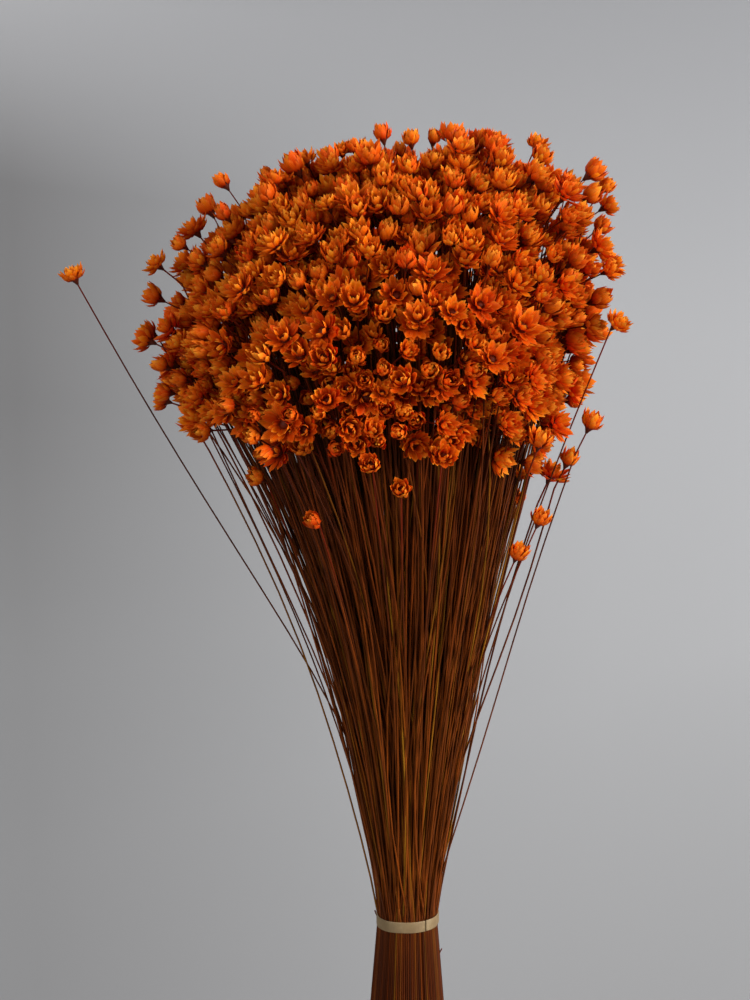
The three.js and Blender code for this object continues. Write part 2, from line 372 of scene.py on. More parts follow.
def wrapped(rings, sides, first=0):
    """Faces between rings of points that follow each other in the list of points."""
    after = [(k + 1) % sides for k in range(sides)]
    starts = range(first, first + (rings - 1) * sides, sides)
    return [(s + k, s + n, s + n + sides, s + k + sides) for s in starts for k, n in enumerate(after)]


def store(mesh, name, values, domain="POINT", kind="FLOAT"):
    """A named number on each point, face or corner."""
    attribute = mesh.attributes.new(name, kind, domain)
    field = "vector" if kind in ("FLOAT_VECTOR", "FLOAT2") else "value"
    plain = {"BOOLEAN": bool, "INT": np.int32}.get(kind, np.float32)
    attribute.data.foreach_set(field, np.asarray(values, dtype=plain).ravel())


def make_bract():
    points, along, across = [(0, 0, 0)], [0], [0]
    for share, width in BRACT_STATIONS:
        margin = BRACT_HALF_WIDTH * width
        hollow = BRACT_HOLLOW * width
        back, front = hollow + BRACT_THICKNESS / 2, hollow - BRACT_THICKNESS / 2
        for x, y, side in ((0, -margin, -1), (back, 0, 0), (0, margin, 1), (front, 0, 0)):
            points.append((x, y, share * BRACT_LENGTH))
            along.append(share)
            across.append(side)
    points.append((BRACT_HOLLOW * 0.15, 0, BRACT_LENGTH))
    along.append(1)
    across.append(0)
    tip = len(points) - 1
    faces = [(1 + (k + 1) % 4, 1 + k, 0) for k in range(4)]
    faces += wrapped(len(BRACT_STATIONS), 4, 1)
    faces += [(tip - 4 + k, tip - 4 + (k + 1) % 4, tip) for k in range(4)]
    mesh = mesh_from("bract", points, faces)
    store(mesh, "along", along)
    store(mesh, "across", across)
    store(mesh, "inner", [k % 4 // 2 for k in range(len(faces))], "FACE")
    margins = {0, tip, *range(1, tip, 2)}
    for edge in mesh.edges:
        edge.use_edge_sharp = set(edge.vertices) <= margins
    return mesh


bract_mesh = make_bract()
print("bract:", len(bract_mesh.polygons), "faces")

# %% [markdown]
# ## The base of a head
#
# A turned shape with seven sides: from the stem's width it swells into a cone, and it closes with a
# small dark dome, which is what shows in the middle of an open head.

# %% Base mesh
BASE_TOP = 4.2
BASE_PROFILE = [(0, 0.0), (0.42, 0.0), (0.8, 0.9), (1.65, 2.4), (1.95, 3.2), (1.0, 3.95), (0, BASE_TOP)]
BASE_SIDES = 7


def circles(profile, sides):
    """Points on a circle round the axis for each radius and height of a profile."""
    turns = [TURN * k / sides for k in range(sides)]
    return [(r * math.cos(t), r * math.sin(t), z) for r, z in profile for t in turns]


def turned(name, profile, sides):
    """A closed turned shape, whose profile starts and ends on the axis."""
    points = [(0, 0, profile[0][1]), *circles(profile[1:-1], sides), (0, 0, profile[-1][1])]
    top = len(points) - 1
    faces = wrapped(len(profile) - 2, sides, 1)
    for k in range(sides):
        after = (k + 1) % sides
        faces += [(1 + after, 1 + k, 0), (top - sides + k, top - sides + after, top)]
    return mesh_from(name, points, faces)


base_mesh = turned("base", BASE_PROFILE, BASE_SIDES)
heights = np.array([v.co.z for v in base_mesh.vertices]) / MM
store(base_mesh, "along", np.clip(heights / BASE_TOP, 0, 1))
print("base:", len(base_mesh.polygons), "faces")

# %% [markdown]
# ## Heads
#
# Every head has three whorls of bracts. The outer ones are short and lean out the most, the middle
# ones are longest, and the inner ones stand nearly upright. How far they lean makes a head a closed
# cup or an open rosette. A Geometry Nodes tree places the bracts on rings of points, so one recipe
# with a few named inputs gives every kind of head.

# %% Helpers for Geometry Nodes


class Recipe(NodeMaker):
    """A Geometry Nodes tree with named inputs."""

    def __init__(self, name, inputs):
        super().__init__(bpy.data.node_groups.new(name, "GeometryNodeTree"))
        interface = self.tree.interface
        interface.new_socket("Geometry", in_out="INPUT", socket_type="NodeSocketGeometry")
        for title, kind in inputs.items():
            interface.new_socket(title, in_out="INPUT", socket_type="NodeSocket" + kind)
        interface.new_socket("Geometry", in_out="OUTPUT", socket_type="NodeSocketGeometry")
        self.source = self.node("NodeGroupInput")

    def given(self, title):
        return self.source.output(title)

    def named(self, name, kind="FLOAT"):
        return self.node("GeometryNodeInputNamedAttribute", {"Name": name}, data_type=kind)

    def vector(self, x, y, z):
        return self.node("ShaderNodeCombineXYZ", {"X": x, "Y": y, "Z": z})

    def chance(self, low, high, seed):
        """A random number for each point, between two values."""
        sockets = {"Min": low, "Max": high, "Seed": seed}
        return self.node("FunctionNodeRandomValue", sockets, data_type="FLOAT")

    def keep(self, geometry, name, value, domain="POINT"):
        sockets = {"Geometry": geometry, "Name": name, "Value": value}
        return self.node("GeometryNodeStoreNamedAttribute", sockets, data_type="FLOAT", domain=domain)

    def joined(self, *parts):
        """Parts as one mesh, without instances."""
        join = self.tree.nodes.new("GeometryNodeJoinGeometry")
        for part in parts:
            self.tree.links.new(part.socket, join.inputs[0])
        sockets = {"Geometry": Reading(self, join.outputs[0])}
        return self.node("GeometryNodeRealizeInstances", sockets)

    def dress(self, geometry, material, selection):
        sockets = {"Geometry": geometry, "Material": material, "Selection": selection}
        return self.node("GeometryNodeSetMaterial", sockets)

    def turned_by(self, x, y, z):
        return self.node("FunctionNodeEulerToRotation", {"Euler": self.vector(x, y, z)})

    def mesh_of(self, title):
        """The mesh of an object that is one of the inputs."""
        return self.node("GeometryNodeObjectInfo", {"Object": self.given(title)}).output("Geometry")

    def finish(self, geometry):
        out = self.tree.nodes.new("NodeGroupOutput")
        self.tree.links.new(geometry.socket, out.inputs["Geometry"])
        return self.tree


def made_by(recipe, mesh, name, values):
    """The plain mesh that a recipe makes from a mesh, with its inputs set by title."""
    carrier = put_in_scene(name, mesh)
    modifier = carrier.modifiers.new("recipe", "NODES")
    modifier.node_group = recipe
    for item in recipe.interface.items_tree:
        if item.in_out == "INPUT" and item.name in values:
            modifier[item.identifier] = values[item.name]
    graph = bpy.context.evaluated_depsgraph_get()
    result = bpy.data.meshes.new_from_object(
        carrier.evaluated_get(graph), preserve_all_data_layers=True, depsgraph=graph
    )
    result.name = name
    bpy.data.objects.remove(carrier)
    return result


print("recipe helpers ready")

# %% Recipe for a head
# What changes from a closed head to an open one
OPENING = {
    "Outer lean": (0.42, 1.26),
    "Middle lean": (0.22, 0.96),
    "Inner lean": (0.02, 0.36),
    "Curl": (-0.3, -0.08),
}
HEAD_INPUTS = {"Bract": "Object", "Base": "Object", **dict.fromkeys(OPENING, "Float"), "Seed": "Int"}
# Title of the lean, number of bracts, ring radius, height on the base, length, width, how golden
WHORLS = [
    ("Outer lean", 12, 1.6, 2.1, 0.84, 1.0, 0.0),
    ("Middle lean", 12, 1.5, 2.6, 1.04, 1.05, 0.12),
    # The inner whorl's extra gold is partly the bracts' own colour and partly painted highlight, where
    # the light catches the inner bracts
    ("Inner lean", 9, 1.1, 2.9, 0.88, 0.82, 0.4),
]
# Painted glints: a few random bracts are painted nearly yellow, standing in for light that they catch
PAINTED_GLINT_RARITY = 3.4
WHORL_TWIST = 0.35


def whorl(recipe, number, bent_bract, lean_title, count, radius, height, length, width, gold):
    """One ring of bracts, each a little different."""
    seed = recipe.given("Seed") * 24 + number * 6
    turn = recipe.node("GeometryNodeInputIndex") * (TURN / count) + number * WHORL_TWIST
    turn += recipe.chance(-0.14, 0.14, seed)
    x, y = recipe.math("COSINE", turn) * (radius * MM), recipe.math("SINE", turn) * (radius * MM)
    sockets = {"Count": count, "Position": recipe.vector(x, y, height * MM)}
    points = recipe.node("GeometryNodePoints", sockets)
    lean = recipe.given(lean_title) + recipe.chance(-0.2, 0.22, seed + 1)
    aimed = recipe.turned_by(recipe.chance(-0.25, 0.25, seed + 2), lean, turn)
    stretch = recipe.chance(0.88, 1.12, seed + 3)
    size = recipe.vector(width, stretch * width, stretch * length)
    sockets = {"Points": points, "Instance": bent_bract, "Rotation": aimed, "Scale": size}
    placed = recipe.node("GeometryNodeInstanceOnPoints", sockets)
    # Painted glints on a few bracts, added to how golden each bract is
    painted_glint = recipe.chance(0.0, 1.0, seed + 5) ** PAINTED_GLINT_RARITY
    warmth = recipe.chance(gold - 0.12, gold + 0.14, seed + 4) + painted_glint
    return recipe.keep(placed, "warmth", warmth, "INSTANCE")


def make_head_recipe():
    recipe = Recipe("flower_head", HEAD_INPUTS)
    position = recipe.node("GeometryNodeInputPosition")
    height = recipe.node("ShaderNodeSeparateXYZ", {0: position}).output("Z")
    bend = height * height * recipe.given("Curl") / (BRACT_LENGTH * MM)
    sockets = {"Geometry": recipe.mesh_of("Bract"), "Offset": recipe.vector(bend, 0, 0)}
    bent = recipe.node("GeometryNodeSetPosition", sockets)
    rings = [whorl(recipe, k, bent, *sizes) for k, sizes in enumerate(WHORLS)]
    return recipe.finish(recipe.joined(recipe.mesh_of("Base"), *rings))


head_recipe = make_head_recipe()
print("head recipe:", len(head_recipe.nodes), "nodes")

# %% Kinds of head
# How open a head is, from a closed cup to a flat rosette
OPENNESS = [0.04, 0.16, 0.26, 0.34, 0.4, 0.46, 0.52, 0.6, 0.68, 0.76, 0.88, 1.0]


def between(low, high, share):
    return low + (high - low) * share


store(bract_mesh, "part", np.zeros(len(bract_mesh.polygons)), "FACE")
store(base_mesh, "part", np.ones(len(base_mesh.polygons)), "FACE")
# These objects only feed a recipe, so they aren't put in the scene
bract_source = bpy.data.objects.new("bract_source", bract_mesh)
base_source = bpy.data.objects.new("base_source", base_mesh)
head_kinds = bpy.data.collections.new("head_kinds")
for kind, openness in enumerate(OPENNESS):
    values = {title: between(*ends, openness) for title, ends in OPENING.items()}
    values.update({"Bract": bract_source, "Base": base_source, "Seed": kind})
    head = made_by(head_recipe, bpy.data.meshes.new("empty"), f"head_{kind:02d}", values)
    head_kinds.objects.link(bpy.data.objects.new(head.name, head))
faces_per_head = len(head_kinds.objects[0].data.polygons)
print("head kinds:", len(OPENNESS), "with", faces_per_head, "faces each")

# %% [markdown]
# ## Where the heads are
#
# The heads lie on a flattened ball whose middle is a little left of the tie, higher on its right
# side and closed further down there. A golden-angle spiral spreads them evenly. Chance then moves
# them a little and sinks some, and pushing neighbours apart gives the crowding of a real bunch.

# %% Ball of heads
SPRIG_COUNT = 1120
GOLDEN_ANGLE = math.pi * (3 - math.sqrt(5))
BALL_CENTRE = np.array([-10.5, 0.0, 408.0])
BALL_WIDTH, BALL_DEPTH, BALL_RISE = 86.5, 78.0, 71.5
BALL_POWER = 2.45
BALL_LEAN, BALL_TILT = 0.1, 0.1
EDGE_ANGLE, EDGE_TILT = 2.02, 0.2
WIDE_LUMP, SMALL_LUMP = 3.0, 2.5
CLUMPING = 0.015
SUNK_DEPTH, SUNK_RARITY = 24.0, 1.7
SCATTER, HEAD_TURN = 2.4, 0.16
HEAD_LIFT = 0.4
HEAD_ROOM, HEAD_ROUNDS = 8.1, 14

rng = np.random.default_rng(41)


def ball_reach(down):
    """How far the ball reaches from its centre at an angle from straight up."""
    wide, high = np.sin(down) / BALL_WIDTH, np.abs(np.cos(down)) / BALL_RISE
    return (wide**BALL_POWER + high**BALL_POWER) ** (-1 / BALL_POWER)


def on_circle(turn):
    return np.stack([np.cos(turn), np.sin(turn)], -1)


def unit(vectors):
    return vectors / np.linalg.norm(vectors, axis=-1, keepdims=True)


def push_apart(points, room, rounds, strength=0.5, limit=lambda points: points):
    """Moves points that are nearer to each other than room apart, a little in each round."""
    for _ in range(rounds):
        gap = points[:, None] - points[None]
        far = np.linalg.norm(gap, axis=2)
        np.fill_diagonal(far, np.inf)
        push = np.clip(room - far, 0, None) * strength / 2
        points = limit(points + (gap / far[..., None] * push[..., None]).sum(1))
    return points


index = np.arange(SPRIG_COUNT)
share = (index + 0.5) / SPRIG_COUNT
around = (index * GOLDEN_ANGLE) % (TURN)
edge_angle = EDGE_ANGLE + EDGE_TILT * np.cos(around)
evenly = np.arccos(1 - (1 - np.cos(edge_angle)) * share)
down = evenly + CLUMPING * np.sin(3 * around + 4 * evenly)
flatness = BALL_DEPTH / BALL_WIDTH
outward = np.stack(
    [np.sin(down) * np.cos(around), np.sin(down) * np.sin(around) * flatness, np.cos(down)], 1
)
lumps = WIDE_LUMP * np.sin(2 * around + 3 * down) + SMALL_LUMP * np.sin(5 * around - 4 * down)
sunk = SUNK_DEPTH * rng.random(SPRIG_COUNT) ** SUNK_RARITY
heads = outward * (ball_reach(down) + lumps - sunk)[:, None]
heads[:, 0] += BALL_LEAN * heads[:, 2]
heads[:, 2] += BALL_TILT * heads[:, 0]
heads += BALL_CENTRE + rng.normal(0, SCATTER, (SPRIG_COUNT, 3))
heads = push_apart(heads, HEAD_ROOM, HEAD_ROUNDS)
facing = unit(outward + (0, 0, HEAD_LIFT) + rng.normal(0, HEAD_TURN, (SPRIG_COUNT, 3)))
print("heads from", heads.min(0).round(), "to", heads.max(0).round(), "mm")

# %% Heads that stand out of the ball
# Place from the left, depth and height in millimetres
STRAGGLERS = [
    (-98.7, -8, 438.2), (-72.0, -6, 469.2), (-44.3, -10, 475.8), (-10.5, -4, 487.5), (49.7, 2, 484.0),
    (71.3, -2, 473.1), (61.7, -12, 468.1), (76.9, 4, 467.3), (76.6, -6, 460.4), (75.2, 3, 451.8),
    (74.6, -9, 444.8), (80.6, 0, 437.8), (77.0, -14, 436.0), (70.0, -25, 378.0), (62.0, -20, 363.0),
    (56.0, -15, 357.0), (45.0, 0, 354.0), (43.0, 5, 343.0), (49.0, -45, 374.0), (-84.7, 2, 451.4),
    (-88.8, -8, 445.6), (-78.8, 5, 459.2), (-99.7, -4, 424.9), (-94.0, -14, 413.5), (-104.0, 3, 407.5),
    (-94.2, -10, 399.6), (-89.0, 2, 385.7), (-85.0, -12, 376.5), (-31.0, -8, 478.5), (-21.0, -2, 482.5),
    (0.5, -4, 485.5), (9.5, 6, 486.0), (19.0, -5, 486.0),
]
HIGHEST_HEAD = 487.0
heads[:, 2] = np.minimum(heads[:, 2], HIGHEST_HEAD)
moved = []
for place in STRAGGLERS:
    far = np.linalg.norm(heads - place, axis=1)
    far[moved] = np.inf
    moved.append(int(far.argmin()))
    heads[moved[-1]] = place
# The lowest ones look along their stems, and their stems are nearly straight
LOW_HEAD_Z, LOW_AIM_Z = 379.0, 225.0
low = np.array([k for k in moved if heads[k, 2] < LOW_HEAD_Z])
facing[low] = unit(heads[low] - (0, 0, LOW_AIM_Z))
print("stragglers:", len(moved), "of which low:", len(low))

# %% [markdown]
# ## Where the stems pass the tie
#
# At the tie the stems are packed in a round bundle, in nearly the same order as their heads. Pushing
# them apart inside a circle gives the tight irregular packing of real stems.

# %% Tie
BUNDLE_RADIUS = 12.3
STEM_RADIUS = 0.34
TIE_SHUFFLE = 1.3
STEM_ROOM, STEM_ROUNDS, STEM_PUSH = 2 * STEM_RADIUS * 1.06, 60, 0.7


def inside_circle(points):
    reach = np.linalg.norm(points, axis=1, keepdims=True)
    return points * np.minimum(1, (BUNDLE_RADIUS - STEM_RADIUS) / np.maximum(reach, 1e-9))


ordered = (BUNDLE_RADIUS - STEM_RADIUS) * np.sqrt(share)[:, None] * on_circle(around)
shuffled = inside_circle(ordered + rng.normal(0, TIE_SHUFFLE, (SPRIG_COUNT, 2)))
tie_places = push_apart(shuffled, STEM_ROOM, STEM_ROUNDS, STEM_PUSH, inside_circle)
print("bundle radius", round(float(np.linalg.norm(tie_places, axis=1).max()), 2), "mm")

# %% [markdown]
# ## Stems
#
# A stem runs from its cut end through the tie and fans out to its head, partly straight away and
# partly later. It bends a little on the way, and its neck turns to where the head faces.

# %% Stem lines
FAN_STRAIGHT = 0.26
FAN_POWER = 1.57
FAN_POWER_PER_DROP = 0.02
FAN_POWER_LEFT = 0.07
LOW_FAN_POWER = 1.5
FAN_SHIFT, FAN_SHIFT_POWER = 2.0, 1.3
FOOT_SPREAD = 2.1
NECK = 9.0
SWAY = 3.3
RISES = np.array([0.0, 0.08, 0.17, 0.27, 0.38, 0.49, 0.6, 0.71, 0.82, 0.92, 1.0])
# Where a stem's points lie between its cut end and the tie
BELOW_TIE = (0, 0.35, 0.7)


def stem_line(tie, base, facing, sway, power):
    """Points of one stem's middle line, in millimetres, from the cut end to the head's base."""
    neck = base - facing * NECK
    across = FAN_STRAIGHT * RISES + (1 - FAN_STRAIGHT) * RISES**power
    upper = np.empty((len(RISES), 3))
    upper[:, :2] = tie + (neck[:2] - tie) * across[:, None]
    upper[:, 2] = TIE_Z + (neck[2] - TIE_Z) * RISES
    upper[:, :2] += np.sin(math.pi * RISES)[:, None] * sway[:2]
    upper[:, :2] += np.sin(TURN * RISES)[:, None] * sway[2:]
    upper[:, 0] += FAN_SHIFT * np.sin(math.pi * RISES**FAN_SHIFT_POWER)
    foot = np.array([*(tie * FOOT_SPREAD), CUT_END_Z])
    lower = [foot + (np.array([*tie, TIE_Z]) - foot) * part for part in BELOW_TIE]
    return np.vstack([lower, upper, base[None]])


print("stem line has", len(RISES) + 4, "points")

# %% Recipe for a group of sprigs
# In the order of the parts: 0 is a bract, 1 is a base and 2 is a stem
FINISHES = {"Bract finish": bract_finish, "Base finish": base_finish, "Stem finish": stem_finish}
SPRIG_INPUTS = {"Heads": "Collection", **dict.fromkeys(FINISHES, "Material")}
STEM_SIDES = 5


def make_sprig_recipe():
    recipe = Recipe("sprigs", SPRIG_INPUTS)
    lines = recipe.given("Geometry")
    curves = recipe.node("GeometryNodeMeshToCurve", {"Mesh": lines})
    sockets = {"Resolution": STEM_SIDES, "Radius": 1.0}
    section = recipe.node("GeometryNodeCurvePrimitiveCircle", sockets)
    sockets = {"Curve": curves, "Profile Curve": section, "Fill Caps": True}
    sockets["Scale"] = recipe.named("thickness")
    stems = recipe.keep(recipe.node("GeometryNodeCurveToMesh", sockets), "part", 2.0, "FACE")
    sockets = {"Mesh": lines, "Selection": recipe.named("tip", "BOOLEAN")}
    tips = recipe.node("GeometryNodeMeshToPoints", sockets)
    sockets = {"Collection": recipe.given("Heads"), "Separate Children": True, "Reset Children": True}
    kinds = recipe.node("GeometryNodeCollectionInfo", sockets)
    sockets = {"Vector": recipe.named("facing", "FLOAT_VECTOR")}
    aimed = recipe.node("FunctionNodeAlignRotationToVector", sockets, axis="Z")
    sockets = {"Rotation": aimed, "Rotate By": recipe.turned_by(0, 0, recipe.named("spin"))}
    spun = recipe.node("FunctionNodeRotateRotation", sockets, rotation_space="LOCAL")
    sockets = {
        "Points": tips,
        "Instance": kinds,
        "Pick Instance": True,
        "Instance Index": recipe.named("kind", "INT"),
        "Rotation": spun,
        "Scale": recipe.named("size"),
    }
    whole = recipe.joined(stems, recipe.node("GeometryNodeInstanceOnPoints", sockets))
    part = recipe.named("part")
    for number, title in enumerate(FINISHES):
        sockets = {"A": part, "B": float(number)}
        same = recipe.node("FunctionNodeCompare", sockets, data_type="FLOAT", operation="EQUAL")
        whole = recipe.dress(whole, recipe.given(title), same)
    # How golden each bract is: its whorl's gold with painted glints, and its head's blush
    gold = recipe.math("ADD", recipe.named("warmth"), recipe.named("blush"), clamp=True)
    return recipe.finish(recipe.keep(whole, "gold", gold))


sprig_recipe = make_sprig_recipe()
print("sprig recipe:", len(sprig_recipe.nodes), "nodes")

# %% Each sprig's own numbers
HEAD_SIZE, SIZE_SPREAD, SIZE_ENDS = 1.03, 0.12, (0.76, 1.3)
BLUSH, BLUSH_SPREAD = 0.2, 0.17
TONE_SHAPE = (1.6, 2.0)
GIRTH, OUTER_GIRTH, GIRTH_SPREAD = 0.9, 0.32, 0.06
# How far a stem may bow outward: in the middle of the bundle and at its rim
BOW_INSIDE, BOW_AT_RIM = 7.0, 0.8

rim_share = np.linalg.norm(tie_places, axis=1) / BUNDLE_RADIUS
sprigs = {
    "facing": facing,
    "size": rng.normal(HEAD_SIZE, SIZE_SPREAD, SPRIG_COUNT).clip(*SIZE_ENDS),
    "kind": rng.choice(len(OPENNESS), SPRIG_COUNT),
    "blush": rng.normal(BLUSH, BLUSH_SPREAD, SPRIG_COUNT),
    "spin": rng.uniform(0, TURN, SPRIG_COUNT),
    "tone": rng.beta(*TONE_SHAPE, SPRIG_COUNT),
    "girth": GIRTH + OUTER_GIRTH * rim_share**4 + rng.normal(0, GIRTH_SPREAD, SPRIG_COUNT),
}
sway = rng.normal(0, 1, (SPRIG_COUNT, 4)) * (SWAY, SWAY, SWAY / 2, SWAY / 2)
aside = unit(tie_places)
allowed = between(BOW_INSIDE, BOW_AT_RIM, rim_share**2)
for pair in (sway[:, :2], sway[:, 2:]):
    bow = (pair * aside).sum(1)
    pair -= aside * (bow - np.minimum(bow, allowed))[:, None]
head_bases = heads - facing * (BASE_TOP * sprigs["size"])[:, None]
fan_powers = FAN_POWER + FAN_POWER_PER_DROP * np.clip(BALL_CENTRE[2] - head_bases[:, 2], 0, None)
fan_powers -= FAN_POWER_LEFT * tie_places[:, 0] / BUNDLE_RADIUS
fan_powers[low] = LOW_FAN_POWER
print("heads are", sprigs["size"].min().round(2), "to", sprigs["size"].max().round(2), "of full size")

# %% Mesh of stem lines
STEM_START, STEM_TAPER = 1.06, 0.12
NUMBER_KINDS = {"tip": "BOOLEAN", "kind": "INT", "facing": "FLOAT_VECTOR"}


def sprigs_mesh(name, lines, numbers):
    """Stem lines as edges, with what each sprig needs stored on its points."""
    counts = [len(line) for line in lines]
    edges, start = [], 0
    for count in counts:
        edges += [(start + k, start + k + 1) for k in range(count - 1)]
        start += count
    mesh = bpy.data.meshes.new(name)
    mesh.from_pydata((np.vstack(lines) * MM).tolist(), edges, [])
    on_points = {title: np.repeat(values, counts, 0) for title, values in numbers.items()}
    on_points["along"] = along = np.concatenate([np.linspace(0, 1, count) for count in counts])
    on_points["thickness"] = STEM_RADIUS * MM * on_points["girth"] * (STEM_START - STEM_TAPER * along)
    on_points["tip"] = np.isin(np.arange(start), np.cumsum(counts) - 1) & (on_points["size"] > 0)
    for title, values in on_points.items():
        store(mesh, title, values, kind=NUMBER_KINDS.get(title, "FLOAT"))
    return mesh


print("numbers of each sprig:", ", ".join(sprigs))

# %% [markdown]
# ## A palette map
#
# The export bakes each piece's colours onto an image, and thousands of bracts would each get a speck
# of it. But a bract's colour depends only on how golden it is and on the place along and across it,
# so all bracts that are about as golden share one strip. The stems share strips by their tone.

# %% Palette map
MAP_NAME = "OFBake"
GOLD_STRIPS, TONE_STRIPS = 24, 8
BRACTS_END, STEMS_END = 0.76, 0.96
STRIP_FILL = 0.84
LOWEST, HIGHEST = 0.02, 0.98
CAP_SIZE = 0.004


def strip_middle(value, strips):
    return np.floor(np.clip(value, 0, 0.999) * strips) + 0.5


def fetch(elements, field, kind):
    values = np.empty(len(elements), dtype=kind)
    elements.foreach_get(field, values)
    return values


def add_palette_map(mesh):
    """A map where a corner's place is its colour's place in a palette."""
    corners = fetch(mesh.loops, "vertex_index", np.int32)
    sides = fetch(mesh.polygons, "loop_total", np.int32)
    face = np.repeat(np.arange(len(sides)), sides)
    first = (np.cumsum(sides) - sides)[face]
    step = np.arange(len(corners)) - first

    def read(name, where=corners):
        """A piece without heads has no numbers of bracts, which are then 0."""
        if name not in mesh.attributes:
            return np.zeros(len(corners), dtype=np.float32)
        return fetch(mesh.attributes[name].data, "value", np.float32)[where]

    part, inner = read("part", face).round(), read("inner", face)
    along, across, gold, tone = (read(name) for name in ("along", "across", "gold", "tone"))
    # A stem's face goes round the stem from its first corner or from its second one
    rises_first = np.abs(along[first] - along[first + 1]) > 1e-6
    turn = TURN * (step + 0.5 * rises_first) / sides[face] + math.pi / 4
    turned_u, turned_v = np.cos(turn), np.sin(turn)
    half = STRIP_FILL / 2
    bract_u = (strip_middle(gold[first], GOLD_STRIPS) + half * across) / GOLD_STRIPS * BRACTS_END
    # The outer faces of the bracts lie in the lower half of the image and the inner ones above
    bract_v = LOWEST + (0.5 - 2 * LOWEST) * along + 0.5 * inner
    wide = strip_middle(tone[first], TONE_STRIPS) + half * np.sign(turned_u)
    stem_u = BRACTS_END + wide / TONE_STRIPS * (STEMS_END - BRACTS_END)
    base_u = (1 + STEMS_END) / 2 + (1 - STEMS_END) * 0.4 * np.sign(turned_u)
    plain_v = LOWEST + (HIGHEST - LOWEST) * along + (sides[face] > 4) * CAP_SIZE * turned_v
    u = np.select([part == 0, part == 1], [bract_u, base_u], stem_u)
    v = np.where(part == 0, bract_v, plain_v)
    store(mesh, MAP_NAME, np.stack([u, v], 1), "CORNER", "FLOAT2")


print("palette:", GOLD_STRIPS, "strips of bracts and", TONE_STRIPS, "of stems")

# %% Finished pieces


def add_piece(name, mesh, slot, *nodes):
    """A finished piece that rides on the whole object and stands for the construction's nodes."""
    piece = put_in_scene(name, mesh)
    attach(piece, "root")
    if nodes:
        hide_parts(*nodes)
    return piece


def grow(name, lines, numbers, *nodes):
    """Sprigs from their stem lines and numbers, as one piece that stands for a node."""
    values = {"Heads": head_kinds, **FINISHES}
    mesh = made_by(sprig_recipe, sprigs_mesh(name + "_lines", lines, numbers), name, values)
    add_palette_map(mesh)
    return add_piece(name, mesh, "sprigs", *nodes)


print("pieces ride on the whole object")

# %% [markdown]
# ## Sprays
#
# The construction model groups stems that lie beside each other in sprays: a core, and three rings
# of sprays round it. Rank from the middle and angle round it say which spray a sprig belongs to.

# %% Sprays
# Ring name, number of sprays
RINGS = [("core", 1), ("inner", 7), ("middle", 14), ("outer", 21)]
STEM_VALUES = (tie_places, head_bases, facing, sway, fan_powers)
spray_total = sum(count for _, count in RINGS)
before = 0
face_total = 0
for ring, count in RINGS:
    in_ring = (share >= before / spray_total) & (share < (before + count) / spray_total)
    before += count
    for number in range(count):
        mine = np.flatnonzero(in_ring & (np.floor(around / (TURN) * count) == number))
        suffix = f"{ring}_{number + 1:02d}" if count > 1 else ring
        lines = [stem_line(*each) for each in zip(*(values[mine] for values in STEM_VALUES))]
        numbers = {title: values[mine] for title, values in sprigs.items()}
        piece = grow("sprigs_" + suffix, lines, numbers, "spray_" + suffix)
        face_total += len(piece.data.polygons)
print("sprays:", spray_total, "with", face_total, "faces")

# %% [markdown]
# ## Sprigs that stand out
#
# A dozen sprigs stand out of the bunch: a long one far out at the left, one that bows in front of
# the others at the right, and short ones with their heads low among the fanned stems. Each is a
# node of the construction model and follows that node's line.

# %% Loose sprigs
# Name, middle of the head, how far out and how high above the tie the stem bends, openness, blush,
# and how much the head looks up
LOOSE_SPRIGS = [
    ("stray_sprig_left", (-132, 0, 433), (12, 88), 8, 0.5, 2.0),
    ("stray_sprig_right", (78.5, -34, 417.5), (17.5, 88), 9, 0.65, 1.0),
    ("side_sprig_upper_left", (-104, 14, 409), (17, 84), 5, 0.3, 0.5),
    ("low_sprig_far_left", (-58.5, -33, 358), (16.5, 84), 2, 0.35, 0.5),
    ("low_sprig_left", (-36.5, -51, 344), (16.5, 84), 1, 0.0, 0.5),
    ("low_sprig_front_left", (-15, -77, 370), (16.5, 84), 4, 0.25, 0.5),
    ("low_sprig_front", (-4, -75, 360.5), (16.5, 84), 3, 0.5, 0.5),
    ("low_sprig_front_right", (11.5, -78, 373.5), (16.5, 84), 6, 0.3, 0.5),
    ("low_sprig_right", (50, -35, 342), (16.5, 84), 3, 0.3, 2.0),
    ("low_sprig_lower_right", (41, -42, 330), (16.5, 84), 4, 0.25, 2.0),
    ("low_sprig_back_left", (-40, 55, 345), (16.5, 84), 5, 0.2, 1.0),
    ("low_sprig_back_right", (34, 60, 352), (16.5, 84), 6, 0.3, 1.0),
]
LOOSE_TIE_RADIUS, LOOSE_FOOT_SPREAD = 11.42, 2.15
LOOSE_STEPS = 16
LOOSE_SWAY = 0.7
# The long stray's stem swings out and back: how far out it is at some heights
SWUNG_STEM = "stray_sprig_left"
SWUNG_OUT = [(11.4, 168), (15.5, 212), (24.6, 246), (38.7, 277.5), (58.7, 306.6), (82.5, 339.3),
             (101.7, 379.7), (120.7, 419.4)]


